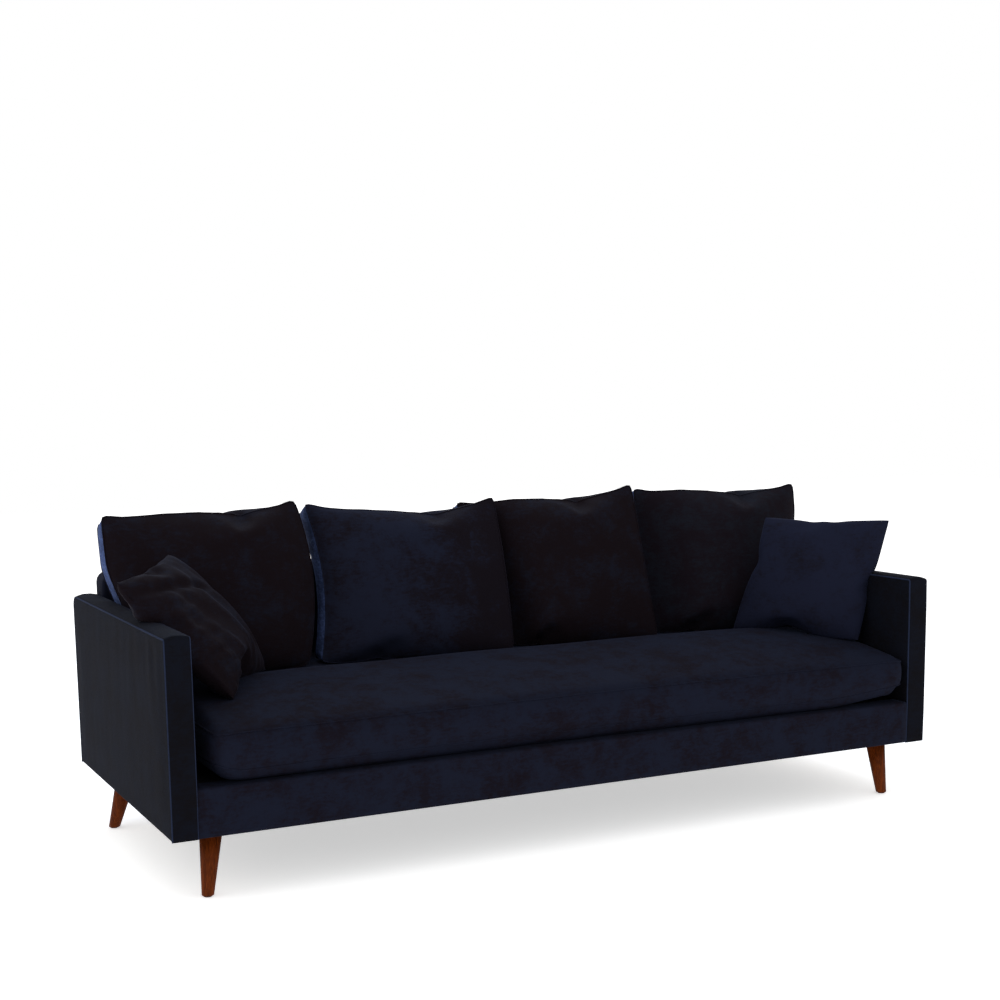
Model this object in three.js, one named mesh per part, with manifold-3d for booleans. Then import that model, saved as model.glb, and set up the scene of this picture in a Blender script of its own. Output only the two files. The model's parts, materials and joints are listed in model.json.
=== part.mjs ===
// Four-seat velvet sofa on turned wooden legs, built as a joiner and an upholsterer would build it.
// Millimetres, +Z up, front towards -Y. The origin is on the floor, under the middle of the sofa.
import * as THREE from 'three';
import { mergeVertices } from 'three/addons/utils/BufferGeometryUtils.js';
import Module from 'manifold-3d';

const wasm = await Module();
wasm.setup();

// ---------- Driving dimensions ----------
const sofaLength = 2300;
const sofaDepth = 1000;
const floorClearance = 164;       // floor to the underside of the upholstered body
const armHeight = 657;            // floor to the top of an arm
const armThickness = 65;
const backHeight = 722;           // floor to the top of the fixed back
const backThickness = 90;
const backInset = 8;              // the fixed back stands this far inside the arms' rear edges
const frontRailHeight = 124;      // upholstered front rail, from the underside to the deck
const coverThickness = 12;        // foam and velvet over the timber
const timberThickness = 27;
const sideRailThickness = 45;
const postWidth = 42;
const coverBevel = 6;
const armRearRadius = 26;
const armFrontRadius = 8;
const backTopRadius = 16;

const touchGap = 0.3;             // between pieces that bear on each other
const fitGap = 0.5;               // between the body's separately covered parts
const softGap = 2;                // round loose cushions

const seatThickness = 166;
const seatSideGap = 15;           // bench cushion to each arm
const seatFrontSetback = 2;
const seatCornerRadius = 55;
const seatEdgeBevel = 20;

const backCushionCount = 4;
const backCushionHeight = 452;
const backCushionEdge = 100;      // width of the boxed border
const backCushionFrontCrown = 62; // how far the front panel swells past the border
const backCushionRearCrown = 105;
const backCushionLean = 17;       // degrees
const backCushionTurn = 4;        // degrees, right side forward
const backCushionStand = 262;     // from the fixed back to the middle of the cushions' lower border

const throwWidth = 415;
const throwHeight = 375;
const throwThickness = 118;
const throwEdge = 10;
const throwLift = 4;
// A throw's place is measured from the arm's inner face and from the fixed back.
const rightThrow = { fromArm: 182, fromBack: 595, turn: -53, lean: 16 };
const leftThrow = { fromArm: 230, fromBack: 613, turn: 45, lean: 25 };

const legTopDiameter = 58;
const legFootDiameter = 30;
const frontFootInset = { side: 99, end: 67 };   // from the sofa's side and front to a front foot
const rearFootInset = { side: 46, end: 175 };   // from the sofa's side and rear to a rear foot
const frontSplay = { x: 18, y: -13 };  // how far a foot stands out from the middle of its leg's top
const rearSplay = { x: 36, y: 40 };
const glideDiameter = 20;
const glideThickness = 3;

const plateSize = 92;
const plateThickness = 3;
const plateScrewInset = 12;
const plateScrewHole = 5;
const boltDiameter = 8;
const boltClearance = 0.4;
const boltInLeg = 30;
const boltInFrame = 36;
const legBlockWidth = 96;
const legBlockHeight = 48;

const springCount = 6;
const springWire = 3.8;
const springAmplitude = 22;
const springWaves = 8;
const stepsPerWave = 8;
const deckPadThickness = 13;
const crossRailDrop = 12;         // the cross rail stays this far below the springs
const dustCoverThickness = 1.5;

const armBoltDiameter = 10;

// ---------- Sizes worked out from them ----------
const frontY = -sofaDepth / 2;
const rearY = sofaDepth / 2;
const outerX = sofaLength / 2;
const armInnerX = outerX - armThickness;
const bodyHalf = armInnerX - fitGap;              // half the length of what sits between the arms
const deckTop = floorClearance + frontRailHeight;
const backRearY = rearY - backInset;
const backFrontY = backRearY - backThickness;
const timberBottom = floorClearance + plateThickness + fitGap;
const deckPadTop = deckTop - coverThickness / 3 - fitGap;
const deckPadBottom = deckPadTop - deckPadThickness;
const springTop = deckPadBottom - fitGap;
const railTop = springTop - springWire - touchGap;
const frontRailFrontY = frontY + coverThickness + fitGap;
const frontRailRearY = frontRailFrontY + timberThickness;
const rearRailRearY = backFrontY + coverThickness - touchGap;
const rearRailFrontY = rearRailRearY - timberThickness;
const armTimberInnerX = armInnerX + coverThickness + fitGap;
const armTimberOuterX = outerX - coverThickness - fitGap;
const sideRailOuterX = armTimberInnerX - touchGap;
const sideRailInnerX = sideRailOuterX - sideRailThickness;
const seatBottom = deckTop + touchGap;
const seatTop = seatBottom + seatThickness;
const looseBottom = seatTop + softGap;            // what stands on the bench cushion starts here
const frontFoot = { x: outerX - frontFootInset.side, y: frontY + frontFootInset.end };
const rearFoot = { x: outerX - rearFootInset.side, y: rearY - rearFootInset.end };

// ---------- Finishes ----------
const finish = (color, roughness, metalness = 0) =>
  new THREE.MeshStandardMaterial({ color, roughness, metalness });
const velvet = finish(0x0b1230, 0.9);
const timber = finish(0xc8a878, 0.8);
const walnut = finish(0x5a3420, 0.45);
const steel = finish(0x8d9093, 0.4, 1);
const felt = finish(0x2a2623, 0.95);
const lining = finish(0x17171a, 0.95);
const padding = finish(0xe3ded2, 0.95);

const sofa = new THREE.Group();

function addPiece(name, geometry, material) {
  const mesh = new THREE.Mesh(geometry, material);
  mesh.name = name;
  sofa.add(mesh);
}

// ---------- Helpers ----------
function toSolid(geometry) {
  const bare = geometry.clone();
  bare.deleteAttribute('normal');
  bare.deleteAttribute('uv');
  const merged = mergeVertices(bare, 1e-4);
  return new wasm.Manifold(new wasm.Mesh({
    numProp: 3,
    vertProperties: new Float32Array(merged.attributes.position.array),
    triVerts: new Uint32Array(merged.index.array),
  }));
}

function toGeometry(solid) {
  const mesh = solid.getMesh();
  const geometry = new THREE.BufferGeometry();
  geometry.setAttribute('position', new THREE.BufferAttribute(mesh.vertProperties, 3));
  geometry.setIndex(new THREE.BufferAttribute(mesh.triVerts, 1));
  geometry.computeVertexNormals();
  return geometry;
}

function cut(geometry, ...tools) {
  let solid = toSolid(geometry);
  for (const tool of tools) solid = solid.subtract(toSolid(tool));
  return toGeometry(solid);
}

function block(low, high) {
  const geometry = new THREE.BoxGeometry(high[0] - low[0], high[1] - low[1], high[2] - low[2]);
  return geometry.translate((low[0] + high[0]) / 2, (low[1] + high[1]) / 2, (low[2] + high[2]) / 2);
}

// A block given for the right side, and mirrored to the left when side is -1.
function sideBlock(side, low, high) {
  const ends = [side * low[0], side * high[0]];
  return block([Math.min(...ends), low[1], low[2]], [Math.max(...ends), high[1], high[2]]);
}

// An outline drawn in Y and Z, carried along X from lowX to highX with softened ends.
function alongX(outline, lowX, highX, bevel) {
  const geometry = new THREE.ExtrudeGeometry(outline, {
    depth: highX - lowX - 2 * bevel,
    bevelEnabled: bevel > 0,
    bevelThickness: bevel,
    bevelSize: bevel,
    bevelOffset: -bevel,
    bevelSegments: 2,
    curveSegments: 6,
  });
  const axes = new THREE.Matrix4().makeBasis(
    new THREE.Vector3(0, 1, 0), new THREE.Vector3(0, 0, 1), new THREE.Vector3(1, 0, 0));
  return geometry.applyMatrix4(axes).translate(lowX + bevel, 0, 0);
}

// A rectangle whose two upper corners are rounded.
function roundToppedOutline(low, high, lowRadius, highRadius) {
  const shape = new THREE.Shape();
  shape.moveTo(low[0], low[1]);
  shape.lineTo(high[0], low[1]);
  shape.lineTo(high[0], high[1] - highRadius);
  shape.absarc(high[0] - highRadius, high[1] - highRadius, highRadius, 0, Math.PI / 2, false);
  shape.lineTo(low[0] + lowRadius, high[1]);
  shape.absarc(low[0] + lowRadius, high[1] - lowRadius, lowRadius, Math.PI / 2, Math.PI, false);
  shape.closePath();
  return shape;
}

function outlineOf(points) {
  const shape = new THREE.Shape();
  shape.setFromPoints(points.map(([u, v]) => new THREE.Vector2(u, v)));
  return shape;
}

// A round bar on a line through a point, from one distance along the line to another.
function barAlong(point, direction, start, end, radius, sides = 16) {
  const geometry = new THREE.CylinderGeometry(radius, radius, end - start, sides);
  const turn = new THREE.Quaternion().setFromUnitVectors(new THREE.Vector3(0, 1, 0), direction);
  const middle = point.clone().addScaledVector(direction, (start + end) / 2);
  return geometry.applyQuaternion(turn).translate(middle.x, middle.y, middle.z);
}

// ---------- Legs ----------
// Each leg's line runs from the middle of its foot to the middle of its top.
function legLine(side, foot, splay) {
  const bottom = new THREE.Vector3(side * foot.x, foot.y, 0);
  const top = new THREE.Vector3(side * (foot.x - splay.x), foot.y - splay.y, floorClearance);
  return { bottom, top, direction: top.clone().sub(bottom).normalize() };
}

const legPlaces = [
  { name: 'front_left', side: -1, ...legLine(-1, frontFoot, frontSplay) },
  { name: 'front_right', side: 1, ...legLine(1, frontFoot, frontSplay) },
  { name: 'rear_left', side: -1, ...legLine(-1, rearFoot, rearSplay) },
  { name: 'rear_right', side: 1, ...legLine(1, rearFoot, rearSplay) },
];

const boltHole = (leg) =>
  barAlong(leg.top, leg.direction, -boltInLeg - fitGap, boltInFrame + fitGap,
    boltDiameter / 2 + boltClearance);

// The tapered turning is longer than it needs to be, and is then trimmed level at both ends.
function legGeometry(leg) {
  const length = leg.top.distanceTo(leg.bottom);
  const spare = 24;
  const taper = (legTopDiameter - legFootDiameter) / 2 / length;
  const profile = [
    new THREE.Vector2(0, -spare),
    new THREE.Vector2(legFootDiameter / 2 - taper * spare, -spare),
    new THREE.Vector2(legTopDiameter / 2 + taper * spare, length + spare),
    new THREE.Vector2(0, length + spare),
  ];
  const turning = new THREE.LatheGeometry(profile, 32);
  const turn = new THREE.Quaternion().setFromUnitVectors(new THREE.Vector3(0, 1, 0), leg.direction);
  turning.applyQuaternion(turn).translate(leg.bottom.x, leg.bottom.y, leg.bottom.z);
  const reach = 2 * legTopDiameter;
  const level = block(
    [Math.min(leg.top.x, leg.bottom.x) - reach, Math.min(leg.top.y, leg.bottom.y) - reach,
      glideThickness + touchGap],
    [Math.max(leg.top.x, leg.bottom.x) + reach, Math.max(leg.top.y, leg.bottom.y) + reach,
      floorClearance - touchGap]);
  return toGeometry(toSolid(turning).intersect(toSolid(level)).subtract(toSolid(boltHole(leg))));
}

// A pressed steel plate, as near to the leg's centre as the arm's cover lets it lie.
function plateGeometry(leg) {
  const reach = plateSize / 2;
  const centreX = leg.side * Math.min(Math.abs(leg.top.x), bodyHalf - reach);
  const plate = block(
    [centreX - reach, leg.top.y - reach, floorClearance],
    [centreX + reach, leg.top.y + reach, floorClearance + plateThickness]);
  const screwHoles = [];
  for (const sx of [-1, 1]) {
    for (const sy of [-1, 1]) {
      const at = new THREE.Vector3(centreX + sx * (reach - plateScrewInset),
        leg.top.y + sy * (reach - plateScrewInset), floorClearance);
      screwHoles.push(barAlong(at, new THREE.Vector3(0, 0, 1), -plateThickness, 2 * plateThickness,
        plateScrewHole / 2, 10));
    }
  }
  return cut(plate, boltHole(leg), ...screwHoles);
}

function addLegs() {
  for (const leg of legPlaces) {
    addPiece(`leg_${leg.name}`, legGeometry(leg), walnut);
    addPiece(`glide_${leg.name}`,
      barAlong(leg.bottom, new THREE.Vector3(0, 0, 1), 0, glideThickness, glideDiameter / 2, 24), felt);
    addPiece(`leg_plate_${leg.name}`, plateGeometry(leg), steel);
    addPiece(`hanger_bolt_${leg.name}`,
      barAlong(leg.top, leg.direction, -boltInLeg, boltInFrame, boltDiameter / 2, 12), steel);
    const innerX = sideRailInnerX - touchGap;
    const blank = sideBlock(leg.side,
      [innerX - legBlockWidth, Math.max(leg.top.y - legBlockWidth / 2, frontRailRearY + touchGap), timberBottom],
      [innerX, leg.top.y + legBlockWidth / 2, timberBottom + legBlockHeight]);
    addPiece(`leg_block_${leg.name}`, cut(blank, boltHole(leg)), timber);
  }
}

// ---------- Seat box ----------
const armBoltY = (frontRailRearY + rearRailFrontY) / 2;
const armBoltZ = (timberBottom + railTop) / 2;
const armBoltHole = (side) => {
  const inner = new THREE.Vector3(side * sideRailInnerX, armBoltY, armBoltZ);
  return barAlong(inner, new THREE.Vector3(side, 0, 0), -fitGap, armTimberOuterX - sideRailInnerX + fitGap,
    armBoltDiameter / 2 + boltClearance);
};

function addSeatBox() {
  addPiece('rail_front',
    block([-sideRailOuterX, frontRailFrontY, timberBottom], [sideRailOuterX, frontRailRearY, railTop]), timber);
  addPiece('rail_rear',
    block([-sideRailOuterX, rearRailFrontY, timberBottom], [sideRailOuterX, rearRailRearY, railTop]), timber);
  for (const [name, side] of [['left', -1], ['right', 1]]) {
    const rail = sideBlock(side,
      [sideRailInnerX, frontRailRearY + touchGap, timberBottom],
      [sideRailOuterX, rearRailFrontY - touchGap, railTop]);
    const legHoles = legPlaces.filter((leg) => leg.side === side).map(boltHole);
    addPiece(`rail_${name}`, cut(rail, armBoltHole(side), ...legHoles), timber);
  }
  addPiece('rail_cross',
    block([-timberThickness / 2, frontRailRearY + touchGap, timberBottom],
      [timberThickness / 2, rearRailFrontY - touchGap, railTop - crossRailDrop]), timber);
}

// A sinuous spring lies across the seat box, with its ends on the front and rear rails.
class SpringPath extends THREE.Curve {
  constructor(x) {
    super();
    this.x = x;
  }

  getPoint(t, target = new THREE.Vector3()) {
    const start = frontRailFrontY + timberThickness / 2;
    const end = rearRailRearY - timberThickness / 2;
    const sideways = springAmplitude * Math.sin(2 * Math.PI * springWaves * t);
    return target.set(this.x + sideways, start + (end - start) * t, railTop + touchGap + springWire / 2);
  }
}

function addSprings() {
  const section = new THREE.Shape();
  section.absarc(0, 0, springWire / 2, 0, 2 * Math.PI, false);
  const pitch = 2 * sideRailInnerX / springCount;
  for (let index = 0; index < springCount; index += 1) {
    const x = (index - (springCount - 1) / 2) * pitch;
    const geometry = new THREE.ExtrudeGeometry(section, {
      extrudePath: new SpringPath(x), steps: springWaves * stepsPerWave, curveSegments: 3, bevelEnabled: false,
    });
    addPiece(`spring_${index + 1}`, geometry, steel);
  }
}

function addDeck() {
  addPiece('deck_pad',
    block([-bodyHalf + fitGap, frontRailFrontY, deckPadBottom], [bodyHalf - fitGap, backFrontY - fitGap, deckPadTop]),
    padding);
  // The underside cloth is notched round the leg plates.
  const half = bodyHalf - timberThickness / 2;
  const front = frontRailRearY;
  const rear = rearRailRearY - timberThickness / 2;
  const inner = half - plateSize - timberThickness;
  const frontNotch = legPlaces[0].top.y + plateSize / 2 + timberThickness / 2;
  const rearNotch = legPlaces[2].top.y - plateSize / 2 - timberThickness / 2;
  const outline = outlineOf([
    [-inner, front], [inner, front], [inner, frontNotch], [half, frontNotch], [half, rearNotch],
    [inner, rearNotch], [inner, rear], [-inner, rear], [-inner, rearNotch], [-half, rearNotch],
    [-half, frontNotch], [-inner, frontNotch]]);
  const cloth = new THREE.ExtrudeGeometry(outline, { depth: dustCoverThickness, bevelEnabled: false });
  addPiece('dust_cover', cloth.translate(0, 0, timberBottom - touchGap - dustCoverThickness), lining);
  // The padded velvet front wraps the front rail and turns in over the deck and under the rail.
  const lip = frontRailRearY + timberThickness;
  const thinLip = coverThickness / 3;
  const plateFrontY = legPlaces[0].top.y - plateSize / 2;
  const tuck = Math.min(frontRailFrontY + timberThickness / 2, plateFrontY - touchGap);
  const underTop = floorClearance + plateThickness;
  const section = outlineOf([
    [frontY, floorClearance], [tuck, floorClearance], [tuck, underTop], [frontY + coverThickness, underTop],
    [frontY + coverThickness, deckTop - thinLip], [lip, deckTop - thinLip], [lip, deckTop], [frontY, deckTop]]);
  addPiece('front_rail_cover', alongX(section, -bodyHalf, bodyHalf, 0), velvet);
}

// ---------- Arms ----------
function addArm(name, side) {
  const postTop = armHeight - coverThickness - fitGap - postWidth;
  const frontPostY = frontY + coverThickness + fitGap;
  const rearPostY = rearY - coverThickness - fitGap;
  const innerX = armTimberInnerX;
  const outer = armTimberOuterX;
  addPiece(`arm_${name}_front_post`, sideBlock(side,
    [innerX, frontPostY, timberBottom], [outer, frontPostY + postWidth, postTop - touchGap]), timber);
  addPiece(`arm_${name}_rear_post`, sideBlock(side,
    [innerX, rearPostY - postWidth, timberBottom], [outer, rearPostY, postTop - touchGap]), timber);
  addPiece(`arm_${name}_top_rail`, sideBlock(side,
    [innerX, frontPostY, postTop], [outer, rearPostY, postTop + postWidth]), timber);
  const bottomRail = sideBlock(side,
    [innerX, frontPostY + postWidth + touchGap, timberBottom],
    [outer, rearPostY - postWidth - touchGap, railTop]);
  addPiece(`arm_${name}_bottom_rail`, cut(bottomRail, armBoltHole(side)), timber);
  addPiece(`arm_bolt_${name}`, barAlong(new THREE.Vector3(side * sideRailInnerX, armBoltY, armBoltZ),
    new THREE.Vector3(side, 0, 0), 0, armTimberOuterX - sideRailInnerX, armBoltDiameter / 2, 12), steel);

  // Padded velvet case, open underneath and where the seat box is bolted on.
  const outline = roundToppedOutline([frontY, floorClearance], [rearY, armHeight], armFrontRadius, armRearRadius);
  const low = side > 0 ? armInnerX : -outerX;
  const blank = alongX(outline, low, low + armThickness, coverBevel);
  const hollow = sideBlock(side,
    [armInnerX + coverThickness, frontY + coverThickness, floorClearance - coverThickness],
    [outerX - coverThickness, rearY - coverThickness, armHeight - coverThickness]);
  const window = sideBlock(side,
    [armInnerX - coverThickness, frontRailFrontY - fitGap, floorClearance - coverThickness],
    [armInnerX + 2 * coverThickness, rearRailRearY + fitGap, deckPadTop - coverThickness]);
  addPiece(`arm_${name}_cover`, cut(blank, hollow, window), velvet);
}

// ---------- Fixed back ----------
// Three posts and a top rail stand on the rear rail, each in a close pocket of the padded velvet back.
function addBack() {
  const postFrontY = backFrontY + coverThickness;
  const postRearY = backRearY - coverThickness;
  const railBottom = backHeight - coverThickness - postWidth;
  const half = bodyHalf - coverThickness;
  const pocketBottom = floorClearance - coverThickness;
  const pockets = [block([-half, postFrontY, railBottom], [half, postRearY, railBottom + postWidth])];
  for (const [name, x] of [['left', -half + postWidth / 2], ['middle', 0], ['right', half - postWidth / 2]]) {
    pockets.push(block([x - postWidth / 2, postFrontY, pocketBottom], [x + postWidth / 2, postRearY, railBottom + fitGap]));
    addPiece(`back_post_${name}`, block(
      [x - postWidth / 2 + fitGap, postFrontY + fitGap, timberBottom],
      [x + postWidth / 2 - fitGap, postRearY - fitGap, railBottom]), timber);
  }
  addPiece('back_top_rail', block(
    [-half + fitGap, postFrontY + fitGap, railBottom + touchGap],
    [half - fitGap, postRearY - fitGap, railBottom + postWidth - fitGap]), timber);

  const outline = roundToppedOutline([backFrontY, floorClearance], [backRearY, backHeight], backTopRadius, backTopRadius);
  const blank = alongX(outline, -bodyHalf, bodyHalf, coverBevel);
  const railWindow = block([-sofaLength, backFrontY - coverThickness, pocketBottom],
    [sofaLength, postFrontY + fitGap, deckPadTop - coverThickness]);
  addPiece('back_cover', cut(blank, ...pockets, railWindow), velvet);
}

// ---------- Loose cushions ----------
function addSeatCushion() {
  const half = armInnerX - seatSideGap;
  const front = frontY + seatFrontSetback;
  const rear = backFrontY - softGap;
  const r = seatCornerRadius;
  const outline = new THREE.Shape();
  outline.moveTo(-half + r, front);
  outline.lineTo(half - r, front);
  outline.absarc(half - r, front + r, r, -Math.PI / 2, 0, false);
  outline.lineTo(half, rear);
  outline.lineTo(-half, rear);
  outline.lineTo(-half, front + r);
  outline.absarc(-half + r, front + r, r, Math.PI, 1.5 * Math.PI, false);
  const geometry = new THREE.ExtrudeGeometry(outline, {
    depth: seatThickness - 2 * seatEdgeBevel, bevelThickness: seatEdgeBevel, bevelSize: seatEdgeBevel,
    bevelOffset: -seatEdgeBevel, bevelSegments: 3, curveSegments: 6,
  });
  addPiece('seat_cushion', geometry.translate(0, 0, seatBottom + seatEdgeBevel), velvet);
}

// A stuffed case: a box whose large faces swell from a border of even width. Its lower edge is on z = 0.
function stuffedCase(width, height, border, frontCrown, rearCrown, fullness) {
  const across = 10;
  const geometry = new THREE.BoxGeometry(width, border, height, across, 2, across);
  const position = geometry.attributes.position;
  for (let index = 0; index < position.count; index += 1) {
    const u = 2 * position.getX(index) / width;
    const v = 2 * position.getZ(index) / height;
    const spread = Math.max(1 - Math.abs(u) ** fullness, 0) * Math.max(1 - Math.abs(v) ** fullness, 0);
    const side = 2 * position.getY(index) / border;
    const crown = side < 0 ? frontCrown : rearCrown;
    position.setY(index, position.getY(index) + side * crown * spread ** 0.6);
  }
  return geometry.translate(0, 0, height / 2);
}

function leanBack(geometry, degrees) {
  const lean = new THREE.Matrix4().makeShear(0, 0, 0, 0, 0, Math.tan(THREE.MathUtils.degToRad(degrees)));
  return geometry.applyMatrix4(lean);
}

function addBackCushions() {
  const pitch = 2 * (armInnerX - softGap) / backCushionCount;
  const turn = THREE.MathUtils.degToRad(backCushionTurn);
  const depth = backCushionEdge + backCushionRearCrown;
  const width = (pitch - softGap - depth * Math.sin(turn)) * Math.cos(turn);
  for (let index = 0; index < backCushionCount; index += 1) {
    const cushion = stuffedCase(width, backCushionHeight, backCushionEdge,
      backCushionFrontCrown, backCushionRearCrown, 3);
    leanBack(cushion, backCushionLean).rotateZ(-turn);
    const x = (index - (backCushionCount - 1) / 2) * pitch;
    const y = backFrontY - backCushionStand;
    addPiece(`back_cushion_${index + 1}`, cushion.translate(x, y, looseBottom), velvet);
  }
}

function addThrow(name, side, place) {
  const crown = (throwThickness - throwEdge) / 2;
  const cushion = stuffedCase(throwWidth, throwHeight, throwEdge, crown, crown, 2);
  leanBack(cushion, place.lean).rotateZ(THREE.MathUtils.degToRad(place.turn));
  const x = side * (armInnerX - place.fromArm);
  const y = backFrontY - place.fromBack;
  addPiece(`throw_${name}`, cushion.translate(x, y, looseBottom + throwLift), velvet);
}

addLegs();
addSeatBox();
addSprings();
addDeck();
addArm('left', -1);
addArm('right', 1);
addBack();
addSeatCushion();
addBackCushions();
addThrow('left', -1, leftThrow);
addThrow('right', 1, rightThrow);

export default sofa;
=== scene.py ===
# %% [markdown]
# A four-seat sofa in crushed navy velvet on turned wooden legs. The joinery, the legs' places and the
# sizes come from the frame, in metres, and this file makes the soft goods and the finishes round it.
# The scene opens with the frame, so that every later step can ask it where a piece belongs.

# %% Load the frame
import json
import math

import bmesh
import bpy
from mathutils import Matrix, Vector, noise


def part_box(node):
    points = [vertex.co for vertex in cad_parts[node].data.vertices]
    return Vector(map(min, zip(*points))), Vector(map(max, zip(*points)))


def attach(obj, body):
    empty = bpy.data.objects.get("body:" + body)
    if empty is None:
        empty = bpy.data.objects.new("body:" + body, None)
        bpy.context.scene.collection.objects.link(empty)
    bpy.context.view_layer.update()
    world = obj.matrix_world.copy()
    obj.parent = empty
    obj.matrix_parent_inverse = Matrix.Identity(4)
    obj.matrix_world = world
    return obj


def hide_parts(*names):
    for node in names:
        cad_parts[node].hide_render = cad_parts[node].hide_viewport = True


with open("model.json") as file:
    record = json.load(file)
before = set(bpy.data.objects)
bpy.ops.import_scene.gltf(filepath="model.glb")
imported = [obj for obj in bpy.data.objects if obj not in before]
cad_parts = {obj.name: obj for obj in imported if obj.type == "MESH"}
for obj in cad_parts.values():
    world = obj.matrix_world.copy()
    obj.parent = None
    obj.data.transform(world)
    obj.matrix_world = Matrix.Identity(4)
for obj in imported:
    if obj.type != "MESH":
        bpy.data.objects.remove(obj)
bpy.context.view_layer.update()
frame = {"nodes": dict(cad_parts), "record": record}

scene = bpy.context.scene

# %% [markdown]
# The camera stands a little to the left of the sofa at eye height and looks slightly down. A lens of
# about 57 mm keeps the long front nearly straight. The vertical shift keeps the sofa low in the picture
# without tilting the camera further, so upright edges stay close to upright.

# %% Place the camera
camera_place = Vector((-2.088, -4.138, 1.202))
camera_turn = math.radians(26.53)     # from straight ahead towards the sofa's right end
camera_dip = math.radians(8.64)
camera_roll = math.radians(-0.76)
camera_data = bpy.data.cameras.new("camera")
camera_data.sensor_width = 36.0
camera_data.lens = 57.3
camera_data.shift_y = 0.14
camera = bpy.data.objects.new("camera", camera_data)
scene.collection.objects.link(camera)
scene.camera = camera
ahead = Vector((math.sin(camera_turn) * math.cos(camera_dip),
                math.cos(camera_turn) * math.cos(camera_dip), -math.sin(camera_dip)))
level_right = Vector((math.cos(camera_turn), -math.sin(camera_turn), 0.0))
level_up = level_right.cross(ahead)
right = level_right * math.cos(camera_roll) + level_up * math.sin(camera_roll)
up = level_up * math.cos(camera_roll) - level_right * math.sin(camera_roll)
camera.matrix_world = Matrix.Translation(camera_place) @ Matrix((right, up, -ahead)).transposed().to_4x4()
print("camera at", tuple(round(c, 2) for c in camera_place))

# %% [markdown]
# Velvet this dark shows its shape only by how the pile catches light, so the studio is a bright, even
# room with a soft lamp high on the left and a stronger, bluish one behind, which puts a cool light on the
# tops. The pale floor glows a little, so light also comes up under the sofa. The floor is staging.

# %% Studio
scene.view_settings.view_transform = "Standard"
world = bpy.data.worlds.new("studio")
scene.world = world
world.use_nodes = True
world.node_tree.nodes["Background"].inputs["Color"].default_value = (1.0, 1.0, 1.0, 1.0)
world.node_tree.nodes["Background"].inputs["Strength"].default_value = 1.0


def soft_lamp(name, place, target, size, power, colour):
    """A square area lamp that faces a point."""
    data = bpy.data.lights.new(name, "AREA")
    data.size = size
    data.energy = power
    data.color = colour
    lamp = bpy.data.objects.new(name, data)
    scene.collection.objects.link(lamp)
    towards = (Vector(target) - Vector(place)).to_track_quat("-Z", "Y")
    lamp.matrix_world = Matrix.Translation(Vector(place)) @ towards.to_matrix().to_4x4()
    return lamp


soft_lamp("key_left", (-4.4, -0.6, 2.4), (-0.4, 0.0, 0.5), size=2.2, power=10.0, colour=(1.0, 1.0, 1.0))
soft_lamp("sky_back", (0.2, 2.6, 3.4), (0.0, 0.0, 0.6), size=2.6, power=60.0, colour=(0.55, 0.70, 1.0))

floor_mesh = bmesh.new()
bmesh.ops.create_grid(floor_mesh, x_segments=1, y_segments=1, size=14.0)
floor_data = bpy.data.meshes.new("floor")
floor_mesh.to_mesh(floor_data)
floor_mesh.free()
floor = bpy.data.objects.new("floor", floor_data)
scene.collection.objects.link(floor)
print("studio ready")

# %% [markdown]
# Every finish is a small node tree. One helper adds a node with its settings and links, and one turns an
# sRGB hex colour into the linear values that the shader wants.

# %% Helpers for finishes


def linear(hex_colour):
    """An sRGB hex colour as linear RGBA."""
    channels = [int(hex_colour[i:i + 2], 16) / 255 for i in (1, 3, 5)]
    return tuple(c / 12.92 if c <= 0.04045 else ((c + 0.055) / 1.055) ** 2.4 for c in channels) + (1.0,)


def add_node(tree, kind, settings=None, values=None, links=None):
    """Adds a node. settings are its properties, values its socket constants, links {input: output socket}."""
    node = tree.nodes.new(kind)
    for name, value in (settings or {}).items():
        setattr(node, name, value)
    for name, value in (values or {}).items():
        node.inputs[name].default_value = value
    for name, socket in (links or {}).items():
        tree.links.new(socket, node.inputs[name])
    return node


def new_finish(name, values):
    """A material with one Principled shader set to these constants. Returns material, tree and shader."""
    material = bpy.data.materials.new(name)
    material.use_nodes = True
    tree = material.node_tree
    shader = tree.nodes["Principled BSDF"]
    for socket, value in values.items():
        shader.inputs[socket].default_value = value
    return material, tree, shader


def blend_colours(tree, factor, first, second):
    """Mixes two colours or colour sockets by a factor socket."""
    mix = add_node(tree, "ShaderNodeMix", {"data_type": "RGBA"}, links={"Factor": factor})
    for index, colour in ((6, first), (7, second)):
        if isinstance(colour, tuple):
            mix.inputs[index].default_value = colour
        else:
            tree.links.new(colour, mix.inputs[index])
    return mix.outputs[2]


def ramp(tree, socket, low, high):
    """Stretches a value so that low becomes 0 and high becomes 1, with soft ends."""
    node = add_node(tree, "ShaderNodeMapRange", {"interpolation_type": "SMOOTHSTEP"},
                    {"From Min": low, "From Max": high}, {"Value": socket})
    return node.outputs["Result"]


# %% [markdown]
# The upholstery is a crushed cotton velvet. Its pile stands on end, so seen head-on it swallows light and
# looks almost black-brown, and at a slant the fibre sides light up blue: that is the sheen lobe, with a
# blue tint. Where the pile has been stroked or crushed the colour shifts in soft patches a hand wide,
# with finer brush marks inside them. The pile itself, about half a millimetre, is drawn coarser, at
# about two millimetres, so that it shows. All the velvet comes off one roll, and one function makes
# lighter and darker copies of its finish: painted light and shade, for how much light each piece catches.

# %% Crushed velvet
metres = 1.0
patch_size = 0.13         # a hand's width
stroke_size = 0.006       # brush marks run level, a few times longer than they are high
pile_size = 0.002
patch_softness = 0.24     # how much of the noise range a patch's edge takes
painted_shade_share = 0.17       # how far the painted shade moves a piece along that range


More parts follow.
